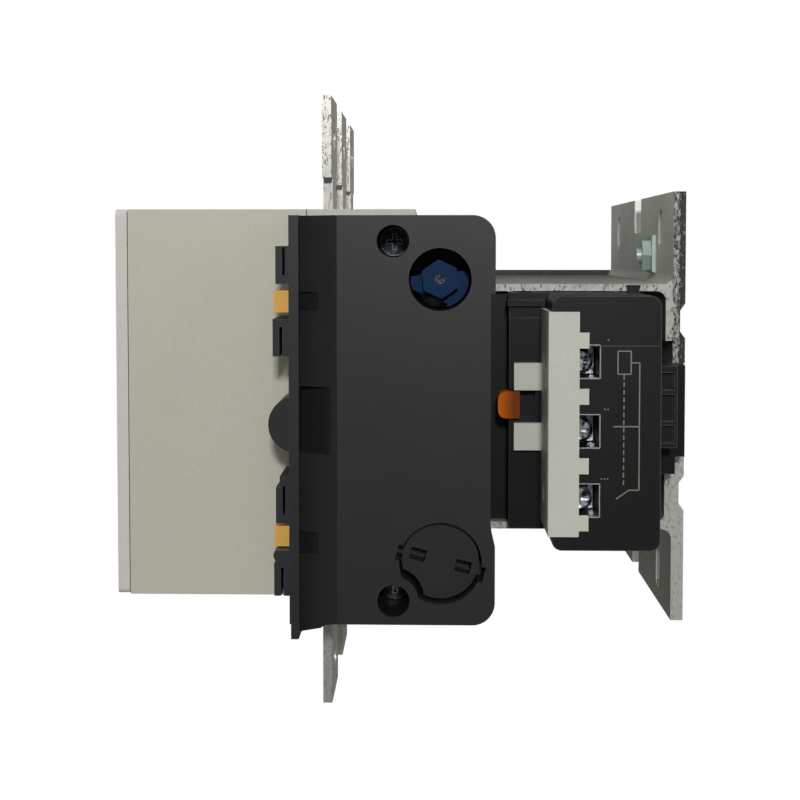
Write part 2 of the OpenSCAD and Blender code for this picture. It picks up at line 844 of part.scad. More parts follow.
// Black coil unit: label block, front body with stepped top, and necks that reach the bobbin
module coil_housing() {
    color(coil_black) difference() {
        union() {
            along_x(label_inner, label_x)
                rounded([label_front, label_bottom], [label_rear, label_top], 3);
            box([label_inner, coil_front, coil_front_bottom], [coil_front_x, label_front + 1, 28.6]);
            box([label_inner, coil_front, 28.6], [coil_front_x - 1.6, label_front + 1, 32.3]);
            box([label_inner, coil_front - 0.4, 32.3], [coil_front_x, label_front + 1, 34.2]);
            box([label_inner, coil_front, 34.2], [coil_front_x - 3, label_front + 4, label_top]);
            for (m = [0, 1]) mirror([0, 0, m])
                box([33.6, -43.5, 22], [label_inner + 1, -21.5, 33.5]);
            // Hook that sits in the notch of the upper frame arm
            along_x(hook_x + 0.1, label_inner + 1) hook_outline(arm_z - 0.3, 0.1);
        }
        // Hollow on the inner side
        box([label_inner - eps, -41.5, -21.5], [pocket_inner - 3, -16, 21.5]);
        // Terminal pockets, open towards the side and, by a round wire entry, towards the front
        for (z = terminals_z) {
            box([pocket_inner, -43, z - window_half], [label_x + 1, window_rear, z + window_half]);
            bar_y(label_front - 2, -42, [86, z], 3.2);
        }
        for (z = terminals_z) bar_x(pocket_inner - 2.5, pocket_inner + 1, [screw_y, z], 1.95);
        // Groove of the economy plunger
        box([plunger_in - 0.4, coil_front - 1, plunger_z - 4.6],
            [coil_front_x + 1, plunger_rear + plunger_travel + 2, plunger_z + 4.6]);
    }
}

// Ribbed latch that hooks the coil unit to the edge of the back plate
module coil_latch() {
    color(coil_black) difference() {
        union() {
            for (z = latch_hooks_z)
                box([60.4, -plate_t - 2.2, z[0]], [frame_half_w + 1, -0.3, z[1]]);
            box([frame_half_w + 0.2, -11, -14.2], [76, -1.7, 14]);
            box([frame_half_w + 0.2, -11, -19.6], [76, -4.6, -13]);
            box([frame_half_w + 0.2, label_rear, -9.6], [88, -6.4, 15]);
        }
        for (z = [[-8.2, -2.9], [-1.7, 6.4], [7.7, 13]])
            box([86.2, -12.4, z[0]], [89, -7.4, z[1]]);
    }
}

// Cream cover over the coil terminals: front wall, side wall with four tabs and two latch tongues
module terminal_cover() {
    wall_t = 1.1;
    side_inner = label_x;
    tabs_z = [23.4, 7.05, -13.25, -30];
    color(cream_grey) difference() {
        union() {
            box([cover_inner, cover_front, cover_bottom], [cover_x, cover_front + wall_t, cover_top]);
            box([side_inner, cover_front, cover_bottom], [cover_x, cover_rear, cover_top]);
            for (z = tabs_z) box([side_inner, cover_rear - 1, z - 2.3], [cover_x, cover_rear + 2.8, z + 2.3]);
            for (z = [10.6, -8])
                box([cover_inner, -54.4, z - 4.2], [cover_inner + 2.2, cover_front + wall_t, z + 4.2]);
        }
        for (z = terminals_z) bar_y(cover_front - 1, cover_front + wall_t + 1, [86, z], 3.1);
    }
}

// Screws of the coil terminals, heads towards the side
module coil_terminal_screws() {
    head_x = 95.6;
    rim_x = head_x - 1.1;
    color(coil_black) for (z = terminals_z) difference() {
        union() {
            bar_x(head_x - 3, rim_x, [screw_y, z], 3.9);
            translate([rim_x, screw_y, z]) rotate([0, 90, 0])
                cylinder(h = head_x - rim_x, r1 = 3.9, r2 = 2.9);
            bar_x(pocket_inner - 2.4, head_x - 2.5, [screw_y, z], 1.9);
        }
        cross_x(head_x - 1.6, head_x + eps, [screw_y, z], 5.4, 1.2);
    }
}

module coil_terminal_clamps() {
    color(zinc) for (z = terminals_z) difference() {
        box([86.4, -42.4, z - 4.4], [87.9, window_rear - 0.4, z + 4.4]);
        bar_x(86, 89, [screw_y, z], 2);
    }
}

// Brass strips of the economy contact, inside the coil unit
module economy_contact() {
    x = pocket_inner - 3;
    color(copper) for (z = [-8, 4]) box([x - 0.8, -40, z], [x, -18, z + 5]);
}

// ---------- hand operated pieces ----------

// Hexagonal grip of the lock, as a bar along X
module hex_grip(x0, x1, r) {
    translate([x0, hex_at[0], hex_at[1]]) rotate([5, 0, 0]) rotate([0, 90, 0])
        cylinder(h = x1 - x0, r = r, $fn = 6);
}

// Blue hexagon on a part round flange, with the shaft that runs in the flank
module locking_hex() {
    flange_r = 8.7;
    flange_x1 = flange_x0 + 3;
    color(lock_blue) difference() {
        union() {
            hex_grip(flange_x0, grip_x, 5.9);
            intersection() {
                bar_x(flange_x0, flange_x1, hex_at, flange_r);
                along_x(flange_x0 - 1, flange_x1 + 1) translate(hex_at)
                    polygon([[-10, 0.5], [-10, -2.6], [2.2, -7.4], [2.2, -10], [10, -10], [10, 2.8]]);
            }
            bar_x(71, flange_x0 + 1, hex_at, hex_shaft_r);
        }
        bar_x(grip_x - 3, grip_x + 1, hex_at, 1.6);
    }
}

module locking_hex_screw() {
    head_x = grip_x - 0.6;
    color(steel) difference() {
        bar_x(grip_x - 3, head_x, hex_at, 1.5);
        cross_x(head_x - 0.8, head_x + eps, hex_at, 2.2, 0.6);
    }
}

// Push-in service cap with two tool holes and two side clips
module service_cap() {
    color(flank_grey) difference() {
        union() {
            along_x(cap_back_x, cap_face_x) cap_outline(cap_r, bite_cap_r);
            along_x(cap_back_x, cap_face_x - 3) difference() {
                cap_notches(3.8, cap_hole_r + 0.7);
                translate(lower_screw) circle(bite_cap_r);
            }
        }
        along_x(cap_back_x + 1, cap_face_x + 1) translate(cap_at) rotate(cap_turn)
            for (s = [-1, 1]) translate([s * 6.9 - 2.4, -1.8]) square([4.8, 3.6]);
    }
}

// Orange plunger that opens the economy contact
module economy_plunger() {
    nose_r = 2.6;
    color(lever_orange) along_x(plunger_in, plunger_in + 5.2) {
        translate([-56.6, plunger_z - 4.2]) square([plunger_rear + 56.6, 8.4]);
        translate([-59.3 + nose_r, plunger_z - 4.2 + nose_r]) circle(nose_r);
        translate([-59.3 + nose_r, plunger_z + 4.2 - nose_r]) circle(nose_r);
        translate([-59.3, plunger_z - 4.2 + nose_r]) square([3, 8.4 - 2 * nose_r]);
        translate([-59.3 + nose_r, plunger_z - 4.2]) square([1, 8.4]);
    }
}

// ---------- moving contacts ----------

// Carrier plate with a post for each pole; the bridge passes through the window in the post
module contact_carrier() {
    color(insulator) difference() {
        union() {
            box([-carrier_half_w, carrier_plate_front, -carrier_half_h],
                [carrier_half_w, carrier_plate_rear, carrier_half_h]);
            for (p = poles)
                box([p - post_half_w, post_front, -post_half_h],
                    [p + post_half_w, carrier_plate_front + 1, post_half_h]);
        }
        for (p = poles)
            box([p - cheek_inner, post_front + post_cap_t, -post_half_h - 1],
                [p + cheek_inner, bridge_rear, post_half_h + 1]);
        for (x = rivet_x) bar_y(carrier_plate_front - 1, carrier_plate_rear + 1, [x, 0], rivet_r + 0.05);
        for (x = [-return_x, return_x]) bar_y(carrier_plate_rear - 3, carrier_plate_rear + 1, [x, 0], 4.6);
    }
}

module armature() {
    color(steel) difference() {
        box([-core_half_w, armature_front, -core_half_h + 0.5],
            [core_half_w, armature_rear, core_half_h - 0.5]);
        for (x = rivet_x) bar_y(armature_front - 1, armature_rear - 3, [x, 0], rivet_r + 0.05);
    }
}

module armature_rivets() {
    color(zinc) for (x = rivet_x) bar_y(carrier_plate_front, armature_rear - 3.2, [x, 0], rivet_r);
}

// Link from the carrier to the auxiliary contacts on the right flank
module aux_drive_yoke() {
    color(insulator) {
        box([post_half_w + pole_pitch, link_front, -link_half], [78, link_rear, link_half]);
        box([73, link_front, lug_lower_z - 3], [78, link_rear, lug_upper_z + 3]);
        for (z = [lug_upper_z, lug_lower_z])
            box([74, finger_front, z - 2], [77, link_front + 1, z + 2]);
    }
}

// Yellow lugs that drive the add-on contact blocks
module aux_drive_lugs() {
    color(lug_yellow) for (z = [lug_upper_z, lug_lower_z]) difference() {
        box([lug_x0, -127.5, z - lug_half], [lug_x1, finger_front, z + lug_half]);
        box([78.5, -120.5, z - 5], [lug_x1 + 1, finger_front + 1, z + 5]);
    }
}

module moving_bridge(p) {
    color(copper)
        box([p - bridge_half_w, bridge_front, -bridge_reach], [p + bridge_half_w, bridge_rear, bridge_reach]);
}

module moving_bridge_1() {
    moving_bridge(poles[0]);
}

module moving_bridge_2() {
    moving_bridge(poles[1]);
}

module moving_bridge_3() {
    moving_bridge(poles[2]);
}

module moving_tips(p) {
    color(silver) for (s = [-1, 1])
        box([p - tip_half_w, bridge_rear, s * tip_z - tip_len / 2],
            [p + tip_half_w, moving_tip_rear, s * tip_z + tip_len / 2]);
}

module moving_tips_1() {
    moving_tips(poles[0]);
}

module moving_tips_2() {
    moving_tips(poles[1]);
}

module moving_tips_3() {
    moving_tips(poles[2]);
}

module contact_spring(p) {
    color(zinc) wire_spring(post_front + post_cap_t, bridge_front, [p, 0], 4.6, 1.5, 5);
}

module contact_spring_1() {
    contact_spring(poles[0]);
}

module contact_spring_2() {
    contact_spring(poles[1]);
}

module contact_spring_3() {
    contact_spring(poles[2]);
}

module return_springs() {
    color(zinc) for (x = [-return_x, return_x])
        wire_spring(carrier_plate_rear - 3, -50.4, [x, 0], 3.4, 1.1, 8);
}

// ---------- assembly ----------

back_plate();
upper_frame_arm();
lower_frame_arm();
frame_screws();
earth_stud();
earth_nut();
earth_washer();
base_housing();
pole_housing();
arc_chamber();
front_lid();
right_flank();
left_flank();
right_flank_screws();
left_flank_screws();
upper_clips();
lower_clips();
interlock_boss();
line_terminal_1();
line_terminal_2();
line_terminal_3();
load_terminal_1();
load_terminal_2();
load_terminal_3();
fixed_contact_tips();
arc_splitters_1();
arc_splitters_2();
arc_splitters_3();
magnet_core();
shading_rings();
core_cushions();
coil_bobbin();
coil_winding();
coil_housing();
coil_latch();
terminal_cover();
coil_terminal_screws();
coil_terminal_clamps();
economy_contact();
locking_hex();
locking_hex_screw();
service_cap();
economy_plunger();
contact_carrier();
armature();
armature_rivets();
aux_drive_yoke();
aux_drive_lugs();
moving_bridge_1();
moving_bridge_2();
moving_bridge_3();
moving_tips_1();
moving_tips_2();
moving_tips_3();
contact_spring_1();
contact_spring_2();
contact_spring_3();
return_springs();
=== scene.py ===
"""Looks of the panel contactor: camera, light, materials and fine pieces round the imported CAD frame."""

import json
import math

import bpy
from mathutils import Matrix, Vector


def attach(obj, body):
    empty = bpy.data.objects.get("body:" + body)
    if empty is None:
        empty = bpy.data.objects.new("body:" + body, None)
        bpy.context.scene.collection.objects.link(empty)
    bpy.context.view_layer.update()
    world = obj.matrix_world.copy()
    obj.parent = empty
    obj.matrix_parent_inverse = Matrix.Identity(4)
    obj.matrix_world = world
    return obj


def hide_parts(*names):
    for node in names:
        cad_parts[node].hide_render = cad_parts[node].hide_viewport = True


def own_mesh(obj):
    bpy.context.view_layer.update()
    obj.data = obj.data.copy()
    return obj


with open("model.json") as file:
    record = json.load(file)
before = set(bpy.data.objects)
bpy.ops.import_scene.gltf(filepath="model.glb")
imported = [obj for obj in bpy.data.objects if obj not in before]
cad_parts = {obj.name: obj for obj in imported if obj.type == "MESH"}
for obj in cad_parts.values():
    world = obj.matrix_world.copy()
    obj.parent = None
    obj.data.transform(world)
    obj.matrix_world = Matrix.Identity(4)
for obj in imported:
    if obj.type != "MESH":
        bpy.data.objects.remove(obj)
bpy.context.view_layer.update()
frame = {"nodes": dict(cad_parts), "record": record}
nodes = frame["nodes"]
MM = 0.001

# ---------- camera, light and floor ----------

CAMERA_PLACE = Vector((460.37, -80.76, 49.72)) * MM
CAMERA_YAW = 1.32
CAMERA_PITCH = -2.3
CAMERA_LENS = 56.03
CAMERA_SHIFT_Y = -0.1254
FLOOR_Z = -0.25


def make_camera():
    data = bpy.data.cameras.new("camera")
    data.lens = CAMERA_LENS
    data.sensor_width = 36
    data.shift_y = CAMERA_SHIFT_Y
    data.clip_start = 0.01
    data.clip_end = 20
    cam = bpy.data.objects.new("camera", data)
    bpy.context.scene.collection.objects.link(cam)
    yaw = math.radians(CAMERA_YAW)
    pitch = math.radians(CAMERA_PITCH)
    forward = Vector((-math.cos(yaw) * math.cos(pitch), -math.sin(yaw) * math.cos(pitch), math.sin(pitch)))
    cam.location = CAMERA_PLACE
    cam.rotation_mode = "QUATERNION"
    cam.rotation_quaternion = forward.to_track_quat("-Z", "Y")
    bpy.context.scene.camera = cam


def area_light(name, place, target, size, power, colour=(1, 1, 1)):
    data = bpy.data.lights.new(name, "AREA")
    data.shape = "RECTANGLE"
    data.size, data.size_y = size
    data.energy = power
    data.color = colour
    lamp = bpy.data.objects.new(name, data)
    bpy.context.scene.collection.objects.link(lamp)
    lamp.location = place
    lamp.rotation_mode = "QUATERNION"
    lamp.rotation_quaternion = (Vector(target) - Vector(place)).to_track_quat("-Z", "Y")


def white_for_camera(tree, shade):
    """Socket: the shader of shade for bounced light, and plain white where the floor or the sky is seen."""
    path = tree.nodes.new("ShaderNodeLightPath")
    white = tree.nodes.new("ShaderNodeEmission" if shade.bl_idname != "ShaderNodeBackground"
                           else "ShaderNodeBackground")
    white.inputs["Color"].default_value = (1, 1, 1, 1)
    white.inputs["Strength"].default_value = 1.0
    mix = tree.nodes.new("ShaderNodeMixShader")
    tree.links.new(path.outputs["Is Camera Ray"], mix.inputs[0])
    tree.links.new(shade.outputs[0], mix.inputs[1])
    tree.links.new(white.outputs[0], mix.inputs[2])
    return mix.outputs[0]


def make_world():
    world = bpy.data.worlds.new("studio")
    bpy.context.scene.world = world
    world.use_nodes = True
    tree = world.node_tree
    tree.nodes.clear()
    sky = tree.nodes.new("ShaderNodeBackground")
    sky.inputs["Color"].default_value = (0.9, 0.95, 1.0, 1)
    sky.inputs["Strength"].default_value = 0.11
    out = tree.nodes.new("ShaderNodeOutputWorld")
    tree.links.new(white_for_camera(tree, sky), out.inputs["Surface"])


def make_floor():
    mesh = bpy.data.meshes.new("floor")
    reach = 4
    signs = ((-1, -1), (1, -1), (1, 1), (-1, 1))
    corners = [(x * reach, y * reach, FLOOR_Z) for x, y in signs]
    mesh.from_pydata(corners, [], [(0, 1, 2, 3)])
    floor = bpy.data.objects.new("floor", mesh)
    bpy.context.scene.collection.objects.link(floor)
    mat = bpy.data.materials.new("pale_floor")
    mat.use_nodes = True
    tree = mat.node_tree
    tree.nodes.clear()
    matt = tree.nodes.new("ShaderNodeBsdfDiffuse")
    matt.inputs["Color"].default_value = (0.30, 0.30, 0.29, 1)
    out = tree.nodes.new("ShaderNodeOutputMaterial")
    tree.links.new(white_for_camera(tree, matt), out.inputs["Surface"])
    mesh.materials.append(mat)


make_camera()
make_world()
make_floor()
area_light("key", (1.21, -0.03, 0.42), (0.08, -0.09, 0.0), (0.10, 0.10), 7.6)
area_light("soft_top", (0.30, -0.10, 0.75), (0.02, -0.09, 0.0), (0.5, 0.7), 1.2)
area_light("front_fill", (-0.1, -1.2, 0.35), (0.0, -0.08, 0.0), (0.9, 0.9), 8.0)
area_light("back_fill", (0.0, 1.0, 0.4), (0.0, -0.08, 0.0), (0.9, 0.9), 7.0)
bpy.context.scene.view_settings.view_transform = "Standard"

# ---------- materials ----------

# Places where a finish, a painted shade or painted glints change, in the row frame
CLIP_REAR_Y = -118 * MM
COIL_FACE_X = 77.2 * MM
LEVER_REAR_Y = -56.5 * MM
COIL_SCREW_FRONT_Y = -50 * MM
CUT_EDGE_X = 65.5 * MM
PLATE_START_Y = -4.2 * MM
PLATE_REAR_Y = -1.9 * MM
PLATE_FACE_Y = -3.9 * MM
ARM_END_Y = -4.5 * MM
LIGHT_BELOW_Z = -12 * MM
LIP_X = -64.5 * MM
EAR_Z = 40 * MM


class Shader:
    """Small helper that wires one procedural material."""

    def __init__(self, name, colour, rough, metal=0.0, specular=0.5):
        self.mat = bpy.data.materials.new(name)
        self.mat.use_nodes = True
        self.tree = self.mat.node_tree
        self.bsdf = self.tree.nodes["Principled BSDF"]
        self.bsdf.inputs["Metallic"].default_value = metal
        self.bsdf.inputs["Specular IOR Level"].default_value = specular
        self.coord = self.add("ShaderNodeTexCoord").outputs["Object"]
        self.colour = self.rgb(colour)
        self.rough = self.value(rough)
        self.normal = None

    def add(self, kind, **values):
        node = self.tree.nodes.new(kind)
        for key, value in values.items():
            if key in node.inputs:
                node.inputs[key].default_value = value
            else:
                setattr(node, key, value)
        return node

    def link(self, a, b):
        self.tree.links.new(a, b)

    def rgb(self, colour):
        node = self.add("ShaderNodeRGB")
        node.outputs[0].default_value = (*colour, 1)
        return node.outputs[0]

    def value(self, number):
        node = self.add("ShaderNodeValue")
        node.outputs[0].default_value = number
        return node.outputs[0]

    def noise(self, scale, detail=3.0, stretch=(1, 1, 1), rough=0.55):
        mapping = self.add("ShaderNodeMapping")
        mapping.inputs["Scale"].default_value = stretch
        self.link(self.coord, mapping.inputs["Vector"])
        node = self.add("ShaderNodeTexNoise", Scale=scale, Detail=detail, Roughness=rough)
        self.link(mapping.outputs[0], node.inputs["Vector"])
        return node.outputs["Fac"]

    def ramp(self, source, stops):
        """Colour ramp through (place, grey) stops, as a grey value."""
        node = self.add("ShaderNodeValToRGB")
        band = node.color_ramp
        while len(band.elements) < len(stops):
            band.elements.new(0.5)
        for element, (place, grey) in zip(band.elements, stops):
            element.position = place
            element.color = (grey, grey, grey, 1)
        self.link(source, node.inputs["Fac"])
        return node.outputs["Color"]

    def math(self, kind, a, b):
        node = self.add("ShaderNodeMath", operation=kind)
        for socket, item in zip(node.inputs, (a, b)):
            if isinstance(item, (int, float)):
                socket.default_value = item
            else:
                self.link(item, socket)
        return node.outputs[0]

    def mix(self, factor, a, b, kind="MIX"):
        node = self.add("ShaderNodeMix", data_type="RGBA", blend_type=kind)
        sockets = [node.inputs[0], node.inputs[6], node.inputs[7]]
        for socket, item in zip(sockets, (factor, a, b)):
            if isinstance(item, (int, float)):
                socket.default_value = item
            elif isinstance(item, tuple):
                socket.default_value = (*item, 1)
            else:
                self.link(item, socket)
        return node.outputs[2]

    def tint(self, mask, colour):
        """Colours the surface where the mask is high."""
        self.colour = self.mix(mask, self.colour, colour)

    def vary(self, scale, amount, detail=3.0, stretch=(1, 1, 1)):
        """Lightens and darkens the colour in soft clouds."""
        clouds = self.ramp(self.noise(scale, detail, stretch), [(0.3, 1 - amount), (0.7, 1.0)])
        self.colour = self.mix(1.0, self.colour, clouds, "MULTIPLY")

    def roughen(self, scale, amount, detail=3.0, stretch=(1, 1, 1)):
        spread = self.math("MULTIPLY", self.math("SUBTRACT", self.noise(scale, detail, stretch), 0.5), amount)
        self.rough = self.math("ADD", self.rough, spread)

    def bump(self, height, strength, distance=0.0002):
        node = self.add("ShaderNodeBump", Strength=strength, Distance=distance)
        self.link(height, node.inputs["Height"])
        if self.normal is not None:
            self.link(self.normal, node.inputs["Normal"])
        self.normal = node.outputs["Normal"]

    def edge_mask(self, radius, gain=4.0):
        """High along convex and concave edges: used for rubbed edges and for painted edge highlights."""
        bevel = self.add("ShaderNodeBevel", Radius=radius)
        bevel.samples = 4
        plain = self.add("ShaderNodeNewGeometry").outputs["Normal"]
        dot = self.add("ShaderNodeVectorMath", operation="DOT_PRODUCT")
        self.link(bevel.outputs[0], dot.inputs[0])
        self.link(plain, dot.inputs[1])
        away = self.math("SUBTRACT", 1.0, dot.outputs["Value"])
        return self.math("MINIMUM", self.math("MULTIPLY", away, gain), 1.0)

    def facing(self, axis, low=0.85, high=0.95):
        """High on faces that look along that row axis, either way."""
        split = self.add("ShaderNodeSeparateXYZ")
        geometry = self.add("ShaderNodeNewGeometry")
        self.link(geometry.outputs["Normal"], split.inputs[0])
        size = self.math("ABSOLUTE", split.outputs[axis], 0.0)
        return self.ramp(size, [(low, 0.0), (high, 1.0)])

    def place(self, axis):
        """Coordinate along that row axis, in metres."""
        split = self.add("ShaderNodeSeparateXYZ")
        self.link(self.coord, split.inputs[0])
        return split.outputs[axis]

    def step(self, source, at, width):
        """Rises from 0 to 1 round the value at, over width. A negative width falls instead."""
        scaled = self.math("DIVIDE", self.math("SUBTRACT", source, at), width)
        moved = self.math("ADD", scaled, 0.5)
        return self.math("MINIMUM", self.math("MAXIMUM", moved, 0.0), 1.0)

    def done(self):
        self.link(self.colour, self.bsdf.inputs["Base Color"])
        self.link(self.rough, self.bsdf.inputs["Roughness"])
        if self.normal is not None:
            self.link(self.normal, self.bsdf.inputs["Normal"])
        return self.mat


def linear(r, g, b):
    """Screen colour from 0 to 255 as linear light."""
    return tuple(((c / 255 + 0.055) / 1.055) ** 2.4 if c > 10 else c / 255 / 12.92 for c in (r, g, b))


def moulded(name, colour, rough, grain=0.35, wear=0.25, edge=None, cloud=0.06, specular=0.4,
            finish=True):
    """Moulded plastic: fine spark-eroded grain, soft clouds of tone and slightly rubbed edges."""
    s = Shader(name, colour, rough, specular=specular)
    s.vary(45, cloud)
    s.vary(900, 0.05, detail=2)
    rubbed = edge or tuple(min(1, c * 1.8 + 0.01) for c in colour)
    s.tint(s.math("MULTIPLY", s.edge_mask(0.0004), wear), rubbed)
    s.roughen(60, 0.12)
    s.bump(s.noise(2600, 2), grain, 0.00006)
    s.bump(s.noise(30, 2), 0.05, 0.0006)
    return s.done() if finish else s


def black_moulded(name):
    """Black moulding: the clips on the flank are greyer, and the front of the coil unit, deep behind the
    flank, gets a painted shade.
    """
    s = moulded(name, linear(24, 24, 23), 0.42, wear=0.9, edge=linear(108, 108, 105), specular=0.22,
                finish=False)
    s.tint(s.step(s.place(1), CLIP_REAR_Y, -0.002), linear(50, 50, 54))
    # painted shade: the coil unit's front behind the flank is darkened to stand in for the shadow of the
    # flank and cover
    coil_front_shade = s.step(s.place(0), COIL_FACE_X, -0.001)
    s.tint(s.math("MULTIPLY", coil_front_shade, s.step(s.place(1), CLIP_REAR_Y, 0.002)), linear(13, 13, 13))
    # painted edge highlight: a light tint along the edges, on top of the rubbed edges, for the key light
    # catching the bevels
    s.tint(s.math("MULTIPLY", s.edge_mask(0.0003, 5.0), 0.5), linear(112, 112, 110))
    return s.done()


def orange_lever(name):
    """Orange moulding with a painted shade: darker towards the rear and under the right shoulder."""
    s = moulded(name, linear(205, 98, 6), 0.5, wear=0.1, specular=0.12, finish=False)
    # painted shade on the rear part of the lever
    s.tint(s.step(s.place(1), LEVER_REAR_Y, 0.004), linear(120, 54, 3))
    return s.done()


def steel_screw(name):
    """Blackened screw steel with painted highlights on its corners and painted glint spots on the coil
    terminal screws.
    """
    s = Shader(name, linear(50, 52, 56), 0.22, metal=0.9)
    s.vary(300, 0.4)
    s.roughen(400, 0.3)
    # painted glints: bright spots on the coil terminal screws
    glint = s.ramp(s.noise(420, 3), [(0.44, 0.0), (0.56, 1.0)])
    painted_glint_colour = s.mix(glint, linear(46, 52, 60), linear(236, 242, 250))
    s.tint(s.step(s.place(1), COIL_SCREW_FRONT_Y, 0.002), painted_glint_colour)
    # painted highlight along the edges and corners of the screws
    s.tint(s.math("MULTIPLY", s.edge_mask(0.0003, 6.0), 0.8), linear(200, 205, 215))
    s.bump(s.noise(1800, 3), 0.35, 0.0001)
    return s.done()


def sheet_steel(name):
    """Dull zinc plated sheet. Its sheared side edges are torn and streaked: mostly light on the arms, and
    darker towards the rear of the upper half of the back plate."""
    s = Shader(name, linear(190, 190, 178), 0.5, metal=0.3)
    s.vary(40, 0.14)
    s.vary(260, 0.08, stretch=(1, 1, 0.3))
    s.roughen(80, 0.2)
    s.tint(s.math("MULTIPLY", s.edge_mask(0.0005), 0.35), linear(205, 203, 196))
    outer = s.step(s.math("ABSOLUTE", s.place(0), 0.0), CUT_EDGE_X, 0.001)
    cut = s.math("MULTIPLY", s.facing(0), outer)
    grain = s.noise(1500, 5, (1, 1, 0.45), 0.7)
    upper = s.step(s.place(2), LIGHT_BELOW_Z, 0.012)
    on_plate = s.step(s.place(1), PLATE_START_Y, 0.0006)
    rear = s.step(s.place(1), PLATE_REAR_Y, 0.0008)
    deeper = s.math("ADD", s.math("MULTIPLY", on_plate, 0.10), s.math("MULTIPLY", rear, 0.13))
    dark = s.math("MULTIPLY", upper, deeper)
    tear = s.ramp(s.math("SUBTRACT", grain, dark), [(0.33, 0.0), (0.47, 1.0)])
    torn = s.mix(tear, linear(40, 39, 34), linear(188, 187, 180))
    s.tint(cut, torn)
    # painted shade: the arm tops darken towards the far side
    arm = s.math("MULTIPLY", s.facing(2), s.step(s.place(1), ARM_END_Y, -0.001))
    far_arm_shade = s.math("MULTIPLY", arm, s.step(s.place(0), 0.0, -0.13))
    s.tint(s.math("MULTIPLY", far_arm_shade, 0.7), linear(56, 57, 50))
    # painted shade: a dark strip along the far lip of the arms
    painted_lip_shade = s.math("MULTIPLY", s.step(s.place(0), LIP_X, -0.0004), s.step(s.place(1), ARM_END_Y, -0.001))
    s.tint(painted_lip_shade, linear(38, 40, 30))
    low_edge = s.math("MULTIPLY", s.math("SUBTRACT", 1.0, upper), on_plate)
    s.tint(s.math("MULTIPLY", s.math("MULTIPLY", cut, low_edge), 0.6), linear(195, 193, 182))
    high = s.step(s.math("ABSOLUTE", s.place(2), 0.0), EAR_Z, 0.001)
    inner = s.math("MULTIPLY", s.math("SUBTRACT", 1.0, outer), s.step(s.place(1), PLATE_FACE_Y, 0.0004))
    s.tint(s.math("MULTIPLY", s.facing(0), s.math("MULTIPLY", high, inner)), linear(236, 236, 229))
    s.bump(s.math("MULTIPLY", tear, cut), 0.5, 0.00025)
    s.bump(s.noise(900, 3), 0.12, 0.0001)
    return s.done()


def plated(name, colour, rough, metal=0.85, cloud=0.12, grain=0.15, edge=None):
    """Plated or bare metal: brushed faintly, with clouds of tone and bright edges."""
    s = Shader(name, colour, rough, metal=metal)
    s.vary(70, cloud)
    s.vary(500, 0.08, stretch=(1, 1, 0.15))
    s.roughen(120, 0.22)
    s.tint(s.math("MULTIPLY", s.edge_mask(0.0003), 0.5), edge or tuple(min(1, c * 1.4) for c in colour))
    s.bump(s.noise(1500, 3, (1, 1, 0.2)), grain, 0.00008)
    return s.done()


def terminal_silver(name):
    """Silver plated bar: satin, with a fine grey tear along its sheared sides."""
    s = Shader(name, linear(208, 206, 196), 0.36, metal=0.55)
    s.vary(60, 0.10)
    s.roughen(90, 0.25)
    cut = s.facing(0)
    streak = s.ramp(s.noise(1300, 4, (1, 1.3, 0.4), 0.7), [(0.34, 0.0), (0.46, 1.0)])
    s.tint(cut, s.mix(streak, linear(140, 138, 136), linear(182, 180, 173)))
    s.tint(s.math("MULTIPLY", s.edge_mask(0.0004), 0.35), linear(150, 150, 142))
    s.bump(s.math("MULTIPLY", streak, cut), 0.35, 0.00015)
    s.bump(s.noise(1400, 3), 0.12, 0.00006)
    return s.done()


def laminated(name):
    """Stack of oiled sheet steel: fine lines across the stack, along Z."""
    s = Shader(name, linear(96, 92, 88), 0.42, metal=0.8)
    wave = s.add("ShaderNodeTexWave", wave_type="BANDS", bands_direction="Z", Scale=310, Distortion=0.3)
    s.link(s.coord, wave.inputs["Vector"])
    s.colour = s.mix(1.0, s.colour, s.ramp(wave.outputs["Fac"], [(0.0, 0.45), (0.25, 1.0)]), "MULTIPLY")
    s.vary(60, 0.2)
    s.roughen(90, 0.3)
    s.bump(wave.outputs["Fac"], 0.4, 0.00012)
    return s.done()


MATERIALS = {
    "frame_steel": sheet_steel("frame_steel"),
    "zinc_plate": plated("zinc_plate", linear(176, 194, 182), 0.4, metal=0.4),
    "spring_steel": plated("spring_steel", linear(160, 160, 164), 0.3),
    "dark_plastic": moulded("dark_plastic", linear(33, 33, 34), 0.46, wear=0.5, specular=0.38),
    "black_plastic": black_moulded("black_plastic"),
    "cream_plastic": moulded("cream_plastic", linear(205, 202, 186), 0.5, wear=0.35,
                             edge=linear(226, 223, 212), cloud=0.03),
    "pale_plastic": moulded("pale_plastic", linear(222, 217, 210), 0.5, wear=0.35,
                            edge=linear(232, 229, 222), cloud=0.03),
    "light_plastic": moulded("light_plastic", linear(205, 205, 194), 0.5, wear=0.35,
                             edge=linear(228, 227, 220), cloud=0.04),
    "screw_steel": steel_screw("screw_steel"),
    "silver_plate": terminal_silver("silver_plate"),
    "magnet_steel": laminated("magnet_steel"),
    "copper": plated("copper", linear(196, 122, 78), 0.35),
    "contact_brass": plated("contact_brass", linear(205, 172, 96), 0.35),
    "brown_plastic": moulded("brown_plastic", linear(74, 62, 52), 0.5),
    "blue_plastic": moulded("blue_plastic", linear(2, 42, 84), 0.4, wear=0.15, specular=0.1),
    "orange_plastic": orange_lever("orange_plastic"),
    "print_ink": moulded("print_ink", linear(132, 130, 123), 0.6, wear=0.1),
    "border_ink": moulded("border_ink", linear(62, 62, 60), 0.6, wear=0.1),
    "rim_grey": moulded("rim_grey", linear(158, 160, 160), 0.4, wear=0.3),
    "yellow_plastic": moulded("yellow_plastic", linear(240, 184, 88), 0.42, wear=0.15),
}

# ---------- CAD nodes: finish and rounded edges ----------

